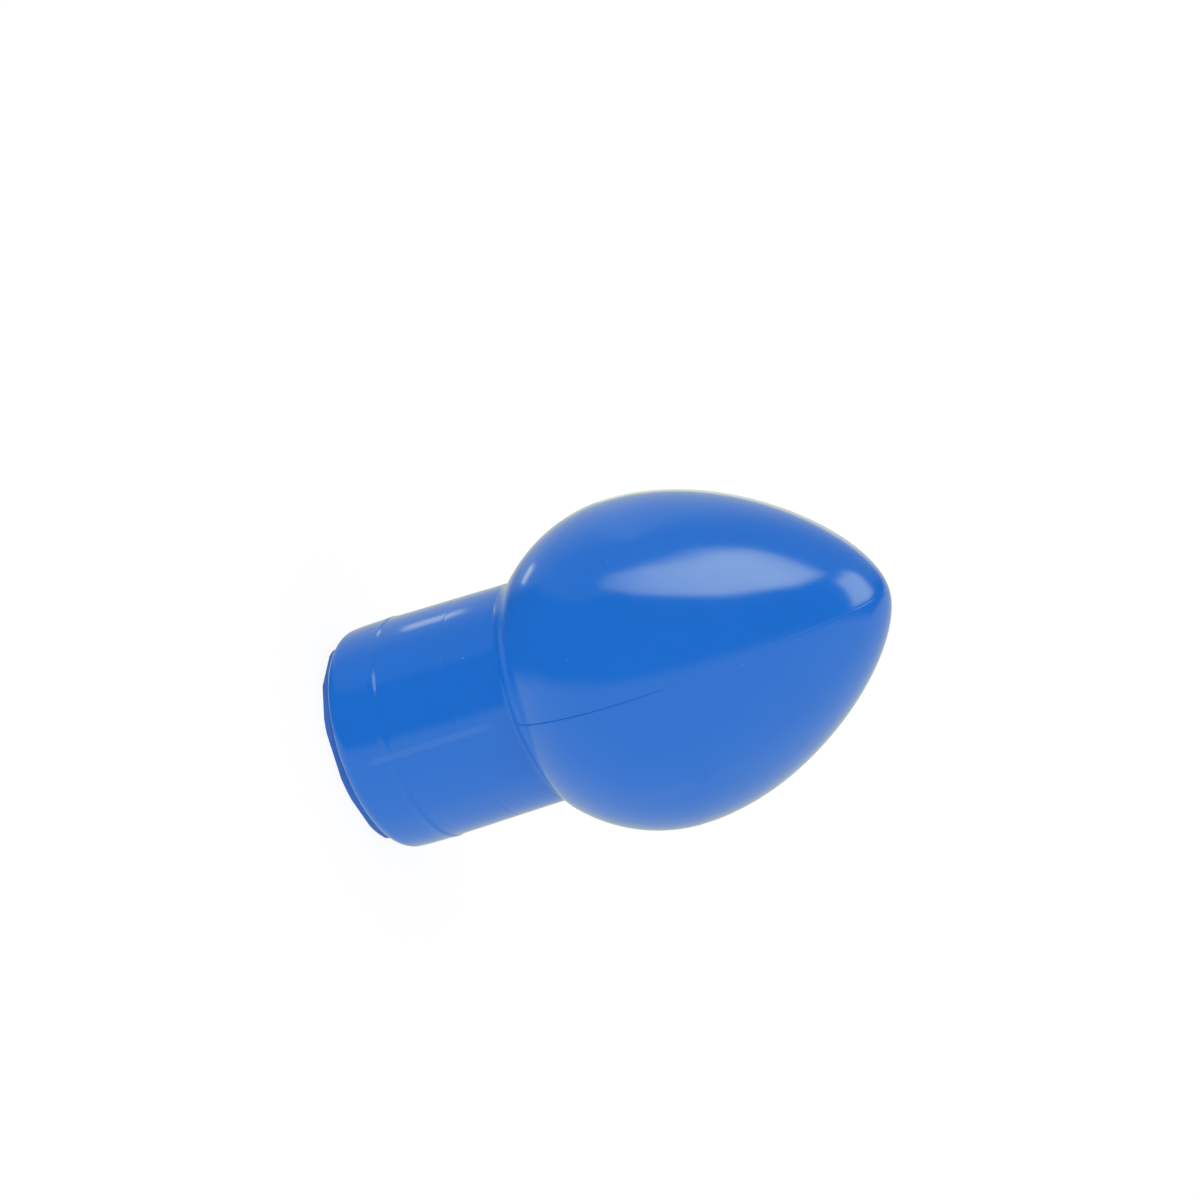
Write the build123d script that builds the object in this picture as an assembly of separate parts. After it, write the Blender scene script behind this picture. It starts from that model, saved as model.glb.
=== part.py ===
from build123d import *
import math
import os

# An egg-headed playing piece that stands upright on a round foot: a hollow moulded body
# in two lengthwise half shells, joined on the YZ plane, with a thin pad under the foot.
# Millimetres. +Z runs up the piece's axis, and the origin is the centre of the pad's underside.

# Overall form
HEIGHT = 100.7
HEAD_RADIUS = 30.0
EQUATOR_Z = 56.6                 # height of the head's widest circle
HEAD_REAR = 29.0                 # half height of the ellipse below the widest circle
FLANK_HANDLE = 21.7              # how far the flank leaves the widest circle upright
TIP_HANDLE = 10.4                # how far the rounded tip stays level from the axis

# Stem and foot
PAD_THICKNESS = 1.25
PAD_RADIUS = 18.8
FOOT_RADIUS = 20.8
FOOT_FILLET = 2.5
CREASE_Z = 11.6                  # the witness line between the foot and the stem
CREASE_STEP = 0.1
STEM_TOP_Z = 25.1                # the second, fainter line, where the neck begins
STEM_DRAFT = 0.024               # radius lost per millimetre of height
NECK_RADIUS = 20.3

# Shell wall and its seam
WALL = 3.0
SEAM_DEPTH = 0.15                # the fine step where the two halves meet
LIP_INSET = 1.6                  # depth below the skin where the seam's tongue begins
LIP_HEIGHT = 1.0
LIP_CLEARANCE = 0.1
CUT_MARGIN = 0.5                 # how far a cutter runs past the face it cuts through

# Stiffening rings on the inside of the wall
RING_HEIGHTS = [19.0, 42.0, 72.0]
RING_THICKNESS = 1.6
RING_DEPTH = 2.0

# Locating pins of the right shell and their sockets in the left one, as (y, z)
PIN_PLACES = [(-14.2, 12.0), (14.2, 12.0), (-23.0, EQUATOR_Z), (23.0, EQUATOR_Z), (0.0, 89.0)]
PIN_RADIUS = 1.5
PIN_LENGTH = 4.0
PIN_CLEARANCE = 0.08
SOCKET_SPARE = 0.5
BOSS_RADIUS = 3.2


def stem_radius(z):
    """Outer radius of the tapered stem at a height."""
    return FOOT_RADIUS - CREASE_STEP - STEM_DRAFT * (z - CREASE_Z)


def half_section(inset):
    """Half of the lengthwise section, drawn inset below the skin: radius across, height up."""
    bottom = PAD_THICKNESS + inset
    corner = max(FOOT_FILLET - inset, CUT_MARGIN)
    foot = FOOT_RADIUS - inset
    head = HEAD_RADIUS - inset
    rear = HEAD_REAR - inset
    tip = HEIGHT - inset
    neck = NECK_RADIUS - inset
    meet = math.degrees(math.acos(neck / head))
    neck_z = EQUATOR_Z - rear * math.sin(math.radians(meet))
    stem_low = stem_radius(CREASE_Z) - inset
    stem_high = stem_radius(STEM_TOP_Z) - inset
    with BuildSketch() as section:
        with BuildLine():
            Line((0, bottom), (foot - corner, bottom))
            RadiusArc((foot - corner, bottom), (foot, bottom + corner), -corner)
            Polyline((foot, bottom + corner), (foot, CREASE_Z - CREASE_STEP),
                     (stem_low, CREASE_Z), (stem_high, STEM_TOP_Z), (neck, neck_z))
            EllipticalCenterArc((0, EQUATOR_Z), head, rear, -meet, arc_size=meet)
            Bezier((head, EQUATOR_Z), (head, EQUATOR_Z + FLANK_HANDLE),
                   (TIP_HANDLE, tip), (0, tip))
            Line((0, tip), (0, bottom))
        make_face()
    return section.sketch


def wall_section():
    """Half of the wall's section, with the stiffening rings as tabs on its inside."""
    cavity = half_section(WALL)
    section = half_section(0) - cavity
    ring_zone = cavity - half_section(WALL + RING_DEPTH)
    for height in RING_HEIGHTS:
        section += Pos(0, height) * Rectangle(3 * HEAD_RADIUS, RING_THICKNESS) & ring_zone
    return section


def seam_layer(outer_inset, inner_inset, low, high):
    """The layer of the section between two insets, extruded along X from low to high."""
    half = half_section(outer_inset) - half_section(inner_inset)
    full = half + mirror(half, about=Plane.YZ)
    return Pos(low, 0, 0) * extrude(Plane.YZ * full, amount=high - low)


def across(radius, length, side, place):
    """A cylinder that starts on the seam plane at (y, z) and runs along X to one side."""
    y, z = place
    return Pos(side * length / 2, y, z) * Rot(0, 90, 0) * Cylinder(radius, length)


def half_shell(side):
    """One half shell, -1 left or +1 right: wall, rings, bosses and the seam's fine step."""
    shell = revolve(Plane.YZ * wall_section(), Axis.Z, -180 * side)
    within_wall = revolve(Plane.YZ * half_section(WALL / 2), Axis.Z, -180 * side)
    for place in PIN_PLACES:
        shell += across(BOSS_RADIUS, HEAD_RADIUS, side, place) & within_wall
    low, high = sorted((0, side * SEAM_DEPTH))
    return shell - seam_layer(-CUT_MARGIN, SEAM_DEPTH, low, high)


def left_half():
    """The half shell with the groove and the sockets."""
    shell = half_shell(-1)
    shell -= seam_layer(LIP_INSET - LIP_CLEARANCE, WALL + CUT_MARGIN, -LIP_HEIGHT - LIP_CLEARANCE, 0)
    for place in PIN_PLACES:
        shell -= across(PIN_RADIUS + PIN_CLEARANCE, PIN_LENGTH + SOCKET_SPARE, -1, place)
    return shell


def right_half():
    """The half shell with the tongue and the pins."""
    shell = half_shell(1)
    shell += seam_layer(LIP_INSET, WALL - LIP_CLEARANCE, -LIP_HEIGHT, 0)
    for place in PIN_PLACES:
        shell += across(PIN_RADIUS, PIN_LENGTH, -1, place)
    return shell


if __name__ == "__main__":
    pieces = {
        "left_shell": left_half(),
        "right_shell": right_half(),
        "foot_pad": Pos(0, 0, PAD_THICKNESS / 2) * Cylinder(PAD_RADIUS, PAD_THICKNESS),
    }
    os.makedirs("parts", exist_ok=True)
    for name, solid in pieces.items():
        export_step(solid, f"parts/{name}.step")
        print(name, round(solid.volume), "mm3")
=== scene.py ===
import math

import bmesh
import bpy
from mathutils import Matrix, Vector, geometry, noise


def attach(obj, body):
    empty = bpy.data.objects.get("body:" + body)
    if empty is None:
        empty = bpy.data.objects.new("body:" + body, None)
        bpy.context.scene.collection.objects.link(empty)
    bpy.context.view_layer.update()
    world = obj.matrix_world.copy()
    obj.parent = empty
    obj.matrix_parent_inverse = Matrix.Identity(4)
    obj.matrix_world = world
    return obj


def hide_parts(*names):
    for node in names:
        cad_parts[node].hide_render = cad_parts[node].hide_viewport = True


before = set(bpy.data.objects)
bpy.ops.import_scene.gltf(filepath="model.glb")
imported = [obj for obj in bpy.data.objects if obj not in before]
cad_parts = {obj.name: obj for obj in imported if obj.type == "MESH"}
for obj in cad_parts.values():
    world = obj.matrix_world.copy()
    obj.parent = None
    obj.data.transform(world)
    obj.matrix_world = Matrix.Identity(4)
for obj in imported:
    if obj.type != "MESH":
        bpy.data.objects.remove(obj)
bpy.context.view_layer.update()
scene = bpy.context.scene

# Lengths in this file are in millimetres, and MM turns them into metres.
MM = 0.001

# The playing piece, as in its CAD source
HEIGHT = 100.7
HEAD_RADIUS = 30.0
EQUATOR_Z = 56.6
HEAD_REAR = 29.0
FLANK_HANDLE = 21.7
TIP_HANDLE = 10.4
PAD_THICKNESS = 1.25
PAD_RADIUS = 18.8
FOOT_RADIUS = 20.8
FOOT_FILLET = 2.5
CREASE_Z = 11.6
CREASE_STEP = 0.1
STEM_TOP_Z = 25.1
STEM_DRAFT = 0.024
NECK_RADIUS = 20.3
WALL = 3.0

# Wear and moulding marks that only the skin shows
FOOT_ROUNDING_TOP = 7.0        # below this height the foot's wall eases inwards
FOOT_ROUNDING = 0.12
CREASE_WIDTH = 0.8
CREASE_BEAD = 0.08             # the foot's top edge stands a little proud before it steps in
LINE_DEPTH = 0.03              # the second line round the stem
LINE_WIDTH = 0.45
NECK_FILLET = 0.35
SEAM_DEPTH = 0.12
SEAM_WIDTH = 0.2
SCRAPE_DEPTH = 0.03            # the band along the stem where the seam was scraped flush
SCRAPE_WIDTH = 0.62
HEAD_LEAN = 1.11               # how far the head sits off the stem's axis
LEAN_FROM = 34.6
LEAN_TO = 37.0

# Camera: how far it is tilted up from the floor, turned round the piece and rolled
CAM_TILT = math.radians(18.5)
CAM_TURN = math.radians(8.0)
CAM_ROLL = math.radians(17.73)
CAM_DISTANCE = 499.1
AIM_HEIGHT = 65.04
AIM_LEFT = 17.06
AIM_ABOVE = 7.33

# Lights
LAMP_TINT = (1.0, 1.0, 0.5)    # slightly warm lamps, the same tint for all
LAMP_REACH = 900.0             # how far the soft panels stand from the piece
LAMP_CENTRE = 60.0             # the height that they stand round
STRIP_LEVEL = 2.2
STRIP_LOW = 0.5
STRIP_TALL = 16.0
STRIP_NEAR = (-5.0, 53.8)      # its two sides: towards the camera's side, and up in the picture
STRIP_FAR = (-15.6, 49.9)

AXIS = Vector((0, 0, 1))
FACING = Vector((-math.sin(CAM_TURN), -math.cos(CAM_TURN), 0))
UPWARD = FACING.cross(AXIS)    # the side that is uppermost in the picture
TOWARD = math.sin(CAM_TILT) * AXIS + math.cos(CAM_TILT) * FACING
ALONG = math.cos(CAM_TILT) * AXIS - math.sin(CAM_TILT) * FACING


def ease(low, high, value):
    """0 below low and 1 above high, with an S-curve between them."""
    t = min(max((value - low) / (high - low), 0.0), 1.0)
    return t * t * (3 - 2 * t)


def steps(start, end, count):
    """count evenly spaced values after start, the last of them end."""
    return [start + (end - start) * (k + 1) / count for k in range(count)]


# ---------------------------------------------------------------- the lengthwise section


def stem_skin(z):
    """Radius of the foot and stem at a height, with the two witness lines."""
    foot = FOOT_RADIUS - FOOT_ROUNDING * max(0.0, (FOOT_ROUNDING_TOP - z) / 3.5) ** 2
    stem = FOOT_RADIUS - CREASE_STEP - STEM_DRAFT * (z - CREASE_Z)
    foot += CREASE_BEAD * ease(CREASE_Z - 2 * CREASE_WIDTH, CREASE_Z - CREASE_WIDTH / 2, z)
    radius = foot + (stem - foot) * ease(CREASE_Z - CREASE_WIDTH / 2, CREASE_Z + CREASE_WIDTH / 2, z)
    line = max(0.0, 1 - abs(z - STEM_TOP_Z) / LINE_WIDTH)
    return radius - LINE_DEPTH * line * line * (3 - 2 * line)


def head_rows(inset, rear_count, flank_count, start):
    """(radius, height) from an angle below the widest circle up to the tip."""
    head = HEAD_RADIUS - inset
    rear = HEAD_REAR - inset
    tip = HEIGHT - inset
    rows = [(head * math.cos(a), EQUATOR_Z + rear * math.sin(a)) for a in steps(start, 0.0, rear_count)]
    for t in steps(0.0, 1.0, flank_count):
        keep = 1 - t
        radius = keep ** 3 * head + 3 * keep * keep * t * head + 3 * keep * t * t * TIP_HANDLE
        height = (keep ** 3 * EQUATOR_Z + 3 * keep * keep * t * (EQUATOR_Z + FLANK_HANDLE)
                  + (3 * keep * t * t + t ** 3) * tip)
        rows.append((radius, height))
    return rows


def skin_rows():
    """(radius, height) of the skin from the middle of the underside to the tip."""
    rows = [(radius, PAD_THICKNESS) for radius in (0.0, 8.0, 14.0, 17.0)]
    corner = FOOT_RADIUS - FOOT_FILLET
    for a in [0.0] + steps(0.0, math.pi / 2, 11):
        height = PAD_THICKNESS + FOOT_FILLET * (1 - math.cos(a))
        rounding = FOOT_RADIUS - stem_skin(height)
        rows.append((corner + (FOOT_FILLET - rounding) * math.sin(a), height))
    wall = PAD_THICKNESS + FOOT_FILLET
    heights = steps(wall, CREASE_Z - 1.6, 12) + steps(CREASE_Z - 1.6, CREASE_Z + 0.5, 20)
    heights += steps(CREASE_Z + 0.5, STEM_TOP_Z - 0.4, 20)
    heights += steps(STEM_TOP_Z - 0.4, STEM_TOP_Z + 0.4, 10)
    start = -math.acos(NECK_RADIUS / HEAD_RADIUS)
    neck_z = EQUATOR_Z + HEAD_REAR * math.sin(start)
    heights += steps(STEM_TOP_Z + 0.4, neck_z - NECK_FILLET, 14)
    rows += [(stem_skin(z), z) for z in heights]
    first = start + NECK_FILLET / HEAD_RADIUS * 1.3
    end = (HEAD_RADIUS * math.cos(first), EQUATOR_Z + HEAD_REAR * math.sin(first))
    low = rows[-1]
    for t in steps(0.0, 1.0, 6):
        rows.append(tuple((1 - t) ** 2 * a + 2 * (1 - t) * t * b + t * t * c
                          for a, b, c in zip(low, (NECK_RADIUS, neck_z), end)))
    return rows + head_rows(0.0, 34, 62, first)


def cavity_rows():
    """(radius, height) of the inside wall from the middle of the floor to the tip."""
    floor = PAD_THICKNESS + WALL
    foot = FOOT_RADIUS - WALL
    start = -math.acos((NECK_RADIUS - WALL) / (HEAD_RADIUS - WALL))
    neck_z = EQUATOR_Z + (HEAD_REAR - WALL) * math.sin(start)
    rows = [(0.0, floor), (9.0, floor), (foot - 0.5, floor), (foot - 0.15, floor + 0.15), (foot, floor + 0.5)]
    rows += [(foot, z) for z in steps(floor + 0.5, CREASE_Z, 4)]
    rows += [(foot - CREASE_STEP - STEM_DRAFT * (z - CREASE_Z), z) for z in steps(CREASE_Z, neck_z, 10)]
    return rows + head_rows(WALL, 16, 26, start)


def normals(rows):
    """Unit normals of a section, pointing away from the axis."""
    made = []
    for k in range(len(rows)):
        before = rows[max(k - 1, 0)]
        after = rows[min(k + 1, len(rows) - 1)]
        run = (after[0] - before[0], after[1] - before[1])
        size = math.hypot(*run) or 1.0
        made.append((run[1] / size, -run[0] / size))
    return made


# ---------------------------------------------------------------- the two shells


def seam_inset(z, off):
    """How far the skin is drawn in at a distance from the seam: a fine groove or a scraped band."""
    head = ease(34.5, 36.5, z)
    fade = 1 - 0.93 * ease(50.0, 70.0, z)
    groove = SEAM_DEPTH * fade * (1 - ease(0.0, SEAM_WIDTH, off))
    band = SCRAPE_DEPTH * (1 - ease(SCRAPE_WIDTH * 0.7, SCRAPE_WIDTH, off))
    return head * groove + (1 - head) * band


def wear_and_glint_at(z, off, angle):
    """How worn the skin is, and where a highlight is painted on: the scraped seam along the stem, and a pale
    patchy ring at the crease of the neck that is partly dust and partly a painted highlight.
    """
    ragged = 0.12 * noise.noise(Vector((z * 0.9, off * 3, 4.0)))
    scraped = 1 - ease(SCRAPE_WIDTH * 0.8, SCRAPE_WIDTH * 1.15, off + ragged)
    scraped *= ease(6.5, 8.5, z) * (1 - ease(29.0, 32.0, z))
    patchy = 0.65 + 0.5 * noise.noise(Vector((6 * math.cos(angle), 6 * math.sin(angle), 2.0)))
    # Painted highlight: a pale patchy ring round the neck crease, partly dust.
    pale_marks = ease(36.2, 36.7, z) * (1 - ease(37.0, 38.2, z)) * patchy
    return max(0.11 * scraped, 0.3 * pale_marks)


def ripple(point, z):
    """The gentle unevenness of the moulded skin."""
    broad = noise.noise(point / 17.0 + Vector((3.1, 7.7, 1.3)))
    small = noise.noise(point / 6.0 + Vector((9.4, 2.2, 5.8)))
    calm = 1 - 0.6 * ease(36.0, 44.0, z)
    return 0.055 * calm * broad + 0.010 * small


def seam_angles():
    """Angles from one seam to the other, close together at both."""
    near = [0.0, 0.12, 0.25, 0.4, 0.6, 0.85, 1.15, 1.5, 2.1, 3.2, 5.0, 7.0]
    middle = steps(7.0, 173.0, 72)
    return [math.radians(a) for a in near + middle + [180 - a for a in reversed(near[:-1])]]


def sweep(mesh, rows, angles, side, shape):
    """A half-turn grid from rows, closed to a point at both ends. Returns its vertices by row."""
    grid = []
    for k, (radius, z) in enumerate(rows):
        if radius < 1e-6:
            grid.append([mesh.verts.new(shape(k, radius, z, 0.0, side))])
        else:
            grid.append([mesh.verts.new(shape(k, radius, z, a, side)) for a in angles])
    for low, high in zip(grid, grid[1:]):
        for j in range(len(angles) - 1):
            ring = [low[j] if len(low) > 1 else low[0], low[j + 1] if len(low) > 1 else low[0],
                    high[j + 1] if len(high) > 1 else high[0], high[j] if len(high) > 1 else high[0]]
            corners = list(dict.fromkeys(ring))
            mesh.faces.new(corners)
    return grid


def seam_face(mesh, skin, cavity):
    """The flat face of a half shell, between the skin's edge and the cavity's edge."""
    def edge_loop(grid):
        front = [row[0] for row in grid]
        back = [row[-1] for row in reversed(grid[1:-1])]
        return front + back
    loops = [edge_loop(skin), edge_loop(cavity)]
    flat = [[Vector((0, v.co.y, v.co.z)) for v in loop] for loop in loops]
    verts = loops[0] + loops[1]
    for corners in geometry.tessellate_polygon(flat):
        mesh.faces.new([verts[c] for c in corners])


def lean(point):
    """The head's small offset from the stem's axis."""
    return point - HEAD_LEAN * ease(LEAN_FROM, LEAN_TO, point.z) * UPWARD


def half_shell(name, side):
    """One closed half shell: -1 is the uppermost half in the picture, +1 the lower one."""
    rows = skin_rows()
    outward = normals(rows)

    def skin_point(k, radius, z, angle, side):
        across, rise = outward[k]
        direction = Vector((side * math.sin(angle), -math.cos(angle), 0))
        start = radius * direction + z * AXIS
        off = radius * min(angle, math.pi - angle)
        push = ripple(start, z) - seam_inset(z, off)
        if z <= PAD_THICKNESS + 0.01:
            push = 0.0
        return start + push * (across * direction + rise * AXIS)

    def cavity_point(k, radius, z, angle, side):
        return Vector((side * radius * math.sin(angle), -radius * math.cos(angle), z))

    mesh = bmesh.new()
    wear_and_glint = mesh.verts.layers.float.new("wear_and_glint")
    angles = seam_angles()
    skin = sweep(mesh, rows, angles, side, skin_point)
    # Each skin point's wear, and the painted highlight at the neck crease.
    for (radius, z), ring in zip(rows, skin):
        for angle, v in zip(angles, ring):
            v[wear_and_glint] = wear_and_glint_at(z, radius * min(angle, math.pi - angle), angle)
    cavity = sweep(mesh, cavity_rows(), [0.0] + steps(0.0, math.pi, 48), side, cavity_point)
    seam_face(mesh, skin, cavity)
    for v in mesh.verts:
        v.co = lean(v.co) * MM
    bmesh.ops.recalc_face_normals(mesh, faces=mesh.faces)
    return finished(name, mesh)


def finished(name, mesh):
    """An object from a bmesh, smooth-shaded with its hard edges marked."""
    for face in mesh.faces:
        face.smooth = True
    for edge in mesh.edges:
        if len(edge.link_faces) == 2 and edge.calc_face_angle() > math.radians(40):
            edge.smooth = False
    data = bpy.data.meshes.new(name)
    mesh.to_mesh(data)
    mesh.free()
    made = bpy.data.objects.new(name, data)
    scene.collection.objects.link(made)
    return made


# ---------------------------------------------------------------- the pad under the foot


def pad_outline():
    """Points of the hand-trimmed outline: a circle with a few straight cuts along it."""
    cuts = [(-96, 0.35), (-63, 0.5), (-41, 0.3), (-8, 0.45), (28, 0.3), (71, 0.55), (118, 0.4), (160, 0.3)]
    points = []
    for k in range(240):
        angle = math.radians(k * 1.5)
        radius = PAD_RADIUS + 0.12 * noise.noise(Vector((math.cos(angle), math.sin(angle), 0.4)) * 2.5)
        for turn, depth in cuts:
            reach = PAD_RADIUS - depth
            aside = math.cos(angle - math.radians(turn))
            if aside > 0:
                radius = min(radius, reach / aside)
        points.append(Vector((radius * math.sin(angle), -radius * math.cos(angle), 0)))
    return points


def foot_pad(name):
    """The thin pad, with its edge slightly eased and frayed."""
    outline = pad_outline()
    levels = [(0.0, 0.985), (0.08, 0.996), (0.35, 1.0), (0.8, 0.999), (PAD_THICKNESS, 0.997)]
    mesh = bmesh.new()
    rings = []
    for height, share in levels:
        ring = []
        for p in outline:
            fray = 0.03 * noise.noise(Vector((p.x, p.y, height * 4)) / 1.5)
            ring.append(mesh.verts.new((p * (share + fray / PAD_RADIUS) + height * AXIS) * MM))
        rings.append(ring)
    count = len(outline)
    for low, high in zip(rings, rings[1:]):
        for j in range(count):
            mesh.faces.new([low[j], low[(j + 1) % count], high[(j + 1) % count], high[j]])
    for ring, level in ((rings[0], 0.0), (rings[-1], PAD_THICKNESS)):
        middle = mesh.verts.new((0, 0, level * MM))
        for j in range(count):
            mesh.faces.new([ring[j], ring[(j + 1) % count], middle])
    bmesh.ops.recalc_face_normals(mesh, faces=mesh.faces)
    return finished(name, mesh)


# ---------------------------------------------------------------- materials


def material(name):
    """A new material, with its nodes and its main shader."""
    made = bpy.data.materials.new(name)
    made.use_nodes = True
    tree = made.node_tree
    return made, tree, tree.nodes["Principled BSDF"]


def shell_material():
    """Glossy blue plastic with a little cloudiness, fine dust and micro-roughness."""
    made, tree, shader = material("blue_plastic")
    new = tree.nodes.new
    link = tree.links.new
    place = new("ShaderNodeTexCoord")
    cloud = new("ShaderNodeTexNoise")
    cloud.inputs["Scale"].default_value = 55.0
    cloud.inputs["Detail"].default_value = 4.0
    link(place.outputs["Object"], cloud.inputs["Vector"])
    tint = new("ShaderNodeValToRGB")
    tint.color_ramp.elements[0].position = 0.3
    tint.color_ramp.elements[0].color = (0.0064, 0.145, 0.612, 1)
    tint.color_ramp.elements[1].position = 0.7
    tint.color_ramp.elements[1].color = (0.0080, 0.153, 0.636, 1)
    link(cloud.outputs["Fac"], tint.inputs["Fac"])
    dust = new("ShaderNodeTexVoronoi")
    dust.inputs["Scale"].default_value = 260.0
    link(place.outputs["Object"], dust.inputs["Vector"])
    speck = new("ShaderNodeValToRGB")
    speck.color_ramp.elements[0].position = 0.035
    speck.color_ramp.elements[0].color = (1, 1, 1, 1)
    speck.color_ramp.elements[1].position = 0.06
    speck.color_ramp.elements[1].color = (0, 0, 0, 1)
    link(dust.outputs["Distance"], speck.inputs["Fac"])
    rare = new("ShaderNodeTexNoise")
    rare.inputs["Scale"].default_value = 130.0
    link(place.outputs["Object"], rare.inputs["Vector"])
    few = new("ShaderNodeMapRange")
    few.inputs["From Min"].default_value = 0.6
    few.inputs["From Max"].default_value = 0.68
    few.inputs["To Max"].default_value = 0.35
    link(rare.outputs["Fac"], few.inputs["Value"])
    amount = new("ShaderNodeMath")
    amount.operation = "MULTIPLY"
    link(speck.outputs["Color"], amount.inputs[0])
    link(few.outputs["Result"], amount.inputs[1])
    pale_marks = new("ShaderNodeMix")
    pale_marks.data_type = "RGBA"
    link(amount.outputs["Value"], pale_marks.inputs["Factor"])
    link(tint.outputs["Color"], pale_marks.inputs[6])
    pale_marks.inputs[7].default_value = (0.25, 0.40, 0.68, 1)
    # The scraped seam's wear and the painted highlight round the neck crease, both from the mesh's attribute.
    wear_and_glint = new("ShaderNodeAttribute")
    wear_and_glint.attribute_name = "wear_and_glint"
    wear_and_glint_mix = new("ShaderNodeMix")
    wear_and_glint_mix.data_type = "RGBA"
    link(wear_and_glint.outputs["Fac"], wear_and_glint_mix.inputs["Factor"])
    link(pale_marks.outputs[2], wear_and_glint_mix.inputs[6])
    # The colour of the scraped seam, and of the painted highlight round the neck crease.
    wear_and_glint_mix.inputs[7].default_value = (0.16, 0.31, 0.66, 1)
    link(wear_and_glint_mix.outputs[2], shader.inputs["Base Color"])
    grain = new("ShaderNodeTexNoise")
    grain.inputs["Scale"].default_value = 420.0
    grain.inputs["Detail"].default_value = 3.0
    link(place.outputs["Object"], grain.inputs["Vector"])
    rough = new("ShaderNodeMapRange")
    rough.inputs["To Min"].default_value = 0.10
    rough.inputs["To Max"].default_value = 0.17
    link(grain.outputs["Fac"], rough.inputs["Value"])
    link(rough.outputs["Result"], shader.inputs["Roughness"])
    shader.inputs["IOR"].default_value = 1.5
    return made


def pad_material():
    """Darker, matt pad material with a fine fibrous grain."""
    made, tree, shader = material("pad_blue")
    place = tree.nodes.new("ShaderNodeTexCoord")
    grain = tree.nodes.new("ShaderNodeTexNoise")
    grain.inputs["Scale"].default_value = 900.0
    grain.inputs["Detail"].default_value = 5.0
    tree.links.new(place.outputs["Object"], grain.inputs["Vector"])
    tint = tree.nodes.new("ShaderNodeValToRGB")
    tint.color_ramp.elements[0].position = 0.3
    tint.color_ramp.elements[0].color = (0.010, 0.110, 0.48, 1)
    tint.color_ramp.elements[1].position = 0.7
    tint.color_ramp.elements[1].color = (0.016, 0.140, 0.56, 1)
    tree.links.new(grain.outputs["Fac"], tint.inputs["Fac"])
    tree.links.new(tint.outputs["Color"], shader.inputs["Base Color"])
    shader.inputs["Roughness"].default_value = 0.6
    return made


# ---------------------------------------------------------------- the studio


def glow_material(name):
    """Light from a mesh's own glow colours, clear to what is behind it."""
    made = bpy.data.materials.new(name)
    made.use_nodes = True
    tree = made.node_tree
    tree.nodes.clear()
    glow = tree.nodes.new("ShaderNodeAttribute")
    glow.attribute_name = "glow"
    light = tree.nodes.new("ShaderNodeEmission")
    out = tree.nodes.new("ShaderNodeOutputMaterial")
    tree.links.new(glow.outputs["Color"], light.inputs["Color"])
    clear = tree.nodes.new("ShaderNodeBsdfTransparent")
    both = tree.nodes.new("ShaderNodeAddShader")
    tree.links.new(light.outputs["Emission"], both.inputs[0])
    tree.links.new(clear.outputs["BSDF"], both.inputs[1])
    tree.links.new(both.outputs["Shader"], out.inputs["Surface"])
    return made


def card(name, columns, rows, where, glow):
    """A card that only reflections see: a grid of points with a glow colour at each."""
    data = bpy.data.meshes.new(name)
    points = []
    colours = []
    for i in range(rows + 1):
        for j in range(columns + 1):
            points.append(where(j / columns, i / rows) * MM)
            colours.extend((*glow(j / columns, i / rows), 1.0))
    faces = []
    for i in range(rows):
        for j in range(columns):
            a = i * (columns + 1) + j
            faces.append((a, a + 1, a + columns + 2, a + columns + 1))
    data.from_pydata(points, [], faces)
    data.color_attributes.new("glow", "FLOAT_COLOR", "POINT")
    data.color_attributes["glow"].data.foreach_set("color", colours)
    data.materials.append(GLOW)
    made = bpy.data.objects.new(name, data)
    scene.collection.objects.link(made)
    made.visible_camera = False
    made.visible_diffuse = False
    made.visible_shadow = False
    made.visible_transmission = False
    made.visible_volume_scatter = False
    return made


def between(values, t):
    """A value t of the way along a list, 0 at the first and 1 at the last."""
    place = t * (len(values) - 1)
    k = min(int(place), len(values) - 2)
    return values[k] + (values[k + 1] - values[k]) * (place - k)


def fade(t, start, end):
    """1 in the middle, falling to 0 at both ends over these shares of the length."""
    low = ease(0.0, start, t) if start > 0 else 1.0
    high = 1 - ease(1 - end, 1.0, t) if end > 0 else 1.0
    return low * high


def tinted(level):
    """A level of lamp light as a colour."""
    return tuple(level * part for part in LAMP_TINT)


def softbox(name, turns, lows, highs, levels, ends, edges):
    """A big soft source: a patch of a sphere, by degrees along the piece and degrees above it."""
    def where(u, v):
        turn = math.radians(turns[0] + (turns[1] - turns[0]) * u)
        low = between(lows, u)
        rise = math.radians(low + (between(highs, u) - low) * v)
        flat = math.cos(turn) * TOWARD + math.sin(turn) * ALONG
        return LAMP_CENTRE * AXIS + LAMP_REACH * (math.cos(rise) * flat + math.sin(rise) * UPWARD)

    def glow(u, v):
        return tinted(between(levels, u) * fade(u, *ends) * fade(v, *edges))

    return card(name, 72, 36, where, glow)


def strip_light():
    """A small upright strip light beside the foot, of one level with soft edges."""
    def where(u, v):
        facing, upward = (near + (far - near) * u for near, far in zip(STRIP_NEAR, STRIP_FAR))
        return facing * FACING + upward * UPWARD + (STRIP_LOW + STRIP_TALL * v) * AXIS

    def glow(u, v):
        return tinted(STRIP_LEVEL * fade(u, 0.35, 0.35) * fade(v, 0.1, 0.3))

    return card("strip_light", 16, 16, where, glow)


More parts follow.
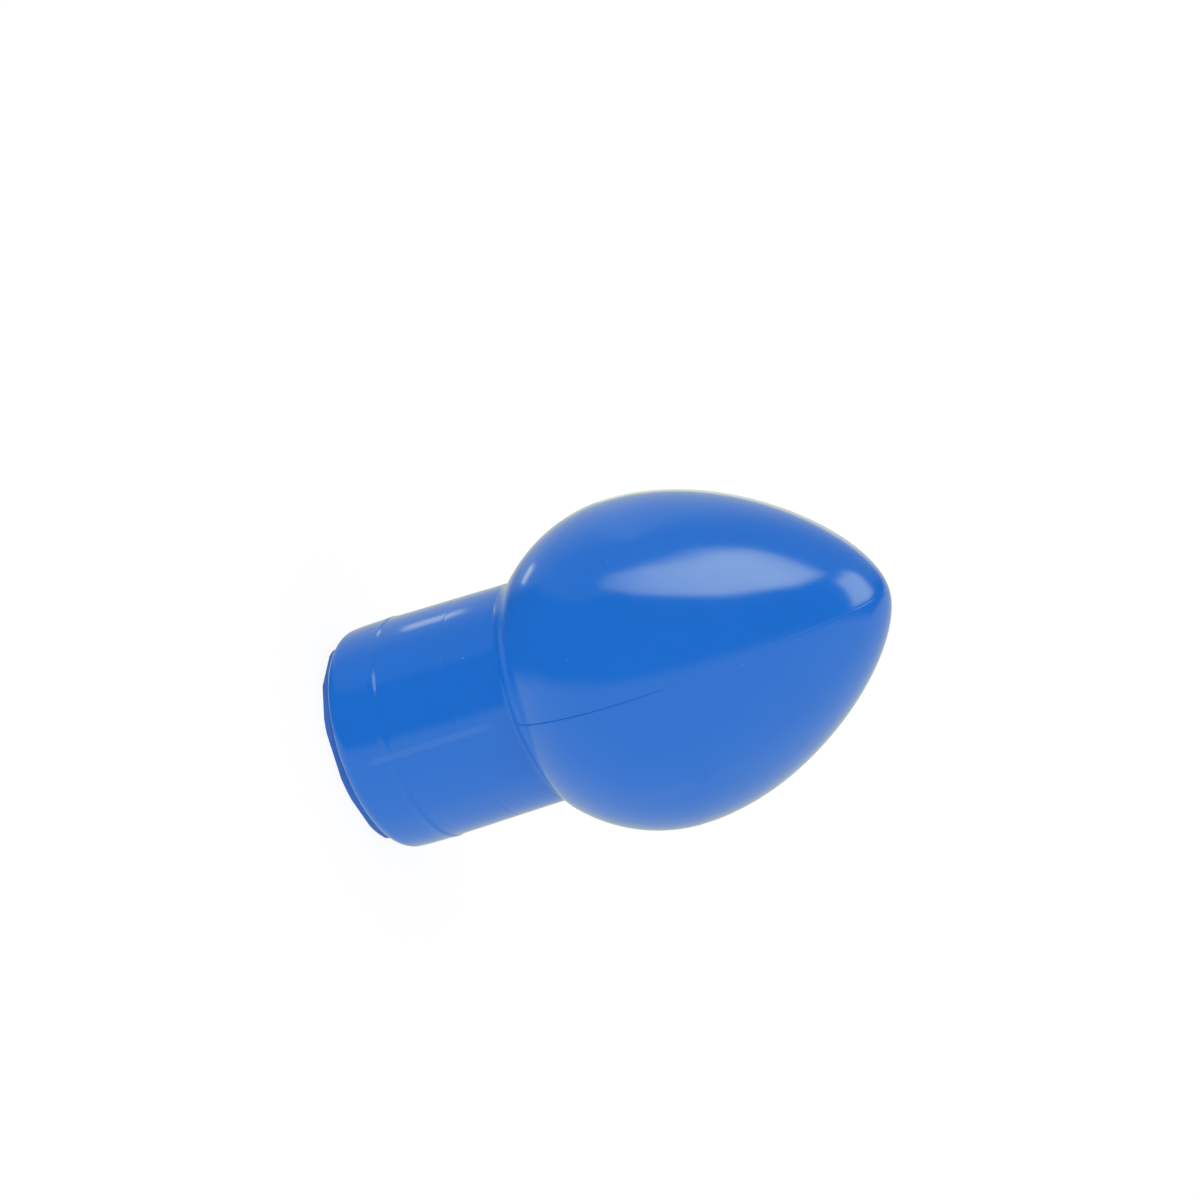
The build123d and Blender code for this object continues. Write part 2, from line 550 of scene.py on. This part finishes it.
def camera():
    """The camera, rolled so that the piece lies on its side in the picture."""
    right = math.cos(CAM_ROLL) * ALONG - math.sin(CAM_ROLL) * UPWARD
    up = math.sin(CAM_ROLL) * ALONG + math.cos(CAM_ROLL) * UPWARD
    aim = AIM_HEIGHT * AXIS - AIM_LEFT * right + AIM_ABOVE * up
    made = bpy.data.objects.new("camera", bpy.data.cameras.new("camera"))
    made.data.lens = 85
    made.data.sensor_width = 36
    turned = Matrix((right, up, TOWARD)).transposed().to_4x4()
    made.matrix_world = Matrix.Translation((aim + CAM_DISTANCE * TOWARD) * MM) @ turned
    scene.collection.objects.link(made)
    scene.camera = made


def floor():
    """A plain pale floor that glows a little, so that it is lit almost evenly."""
    data = bpy.data.meshes.new("floor")
    half = 3.0
    level = -0.05 * MM             # just clear of the pad's underside
    corners = [(-half, -half, level), (half, -half, level), (half, half, level), (-half, half, level)]
    data.from_pydata(corners, [], [(0, 1, 2, 3)])
    made = bpy.data.objects.new("floor", data)
    paper, tree, shader = material("paper")
    shader.inputs["Base Color"].default_value = (0.11, 0.11, 0.11, 1)
    shader.inputs["Roughness"].default_value = 1.0
    shader.inputs["Specular IOR Level"].default_value = 0.0
    shader.inputs["Emission Color"].default_value = (0.91, 0.91, 0.91, 1)
    shader.inputs["Emission Strength"].default_value = 1.0
    data.materials.append(paper)
    made.visible_glossy = False
    scene.collection.objects.link(made)


def studio():
    """White surroundings that reflections see as dark, the floor and the lamps."""
    world = bpy.data.worlds.new("studio")
    world.use_nodes = True
    tree = world.node_tree
    surround = tree.nodes["Background"]
    surround.inputs["Strength"].default_value = 1.0
    ray = tree.nodes.new("ShaderNodeLightPath")
    tint = tree.nodes.new("ShaderNodeMix")
    tint.data_type = "RGBA"
    tint.inputs[6].default_value = (1, 1, 1, 1)
    tint.inputs[7].default_value = (0.04, 0.06, 0.10, 1)
    tree.links.new(ray.outputs["Is Glossy Ray"], tint.inputs["Factor"])
    tree.links.new(tint.outputs[2], surround.inputs["Color"])
    scene.world = world
    scene.view_settings.view_transform = "Standard"
    floor()
    softbox("main_softbox", (-50, 78), [60, 53, 42, 27, 21, 26], [68, 70, 72, 73, 72, 60],
            [0.8, 2.0, 4.2, 5.0, 5.4, 3.0], (0.15, 0.1), (0.14, 0.35))
    softbox("nose_softbox", (69, 100), [-10, -9, 0], [23, 29, 26], [3.8, 3.8, 2.4], (0.12, 0.4), (0.2, 0.2))
    softbox("pale_table", (-180, 180), [-89, -89], [25, 25, 14, 14, 7, 0, -4, -6, -8, -16, 4, 25, 25],
            [0.65, 0.85, 0.75, 0.7, 0.75, 0.85, 0.7], (0, 0), (0.0, 0.1))
    softbox("pale_room", (-180, 180), [10, 20, 42, 46, 46, 50, 62, 66, 60, 5, 5, 5, 5], [89, 89],
            [0.75, 0.5, 0.3, 0.28, 0.28, 0.3, 0.3, 0.3, 0.3, 0.3, 0.35, 0.65, 0.75], (0, 0), (0.15, 0.0))
    strip_light()


GLOW = glow_material("glow")
PLASTIC = shell_material()
PAD = pad_material()
pieces = [
    (half_shell("left_shell_skin", -1), "left_shell", "shell", PLASTIC),
    (half_shell("right_shell_skin", 1), "right_shell", "shell", PLASTIC),
    (foot_pad("foot_pad_trimmed"), "foot_pad", "pad", PAD),
]
for made, node, slot, finish in pieces:
    made.data.materials.append(finish)
    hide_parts(node)
    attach(made, "root")
studio()
camera()
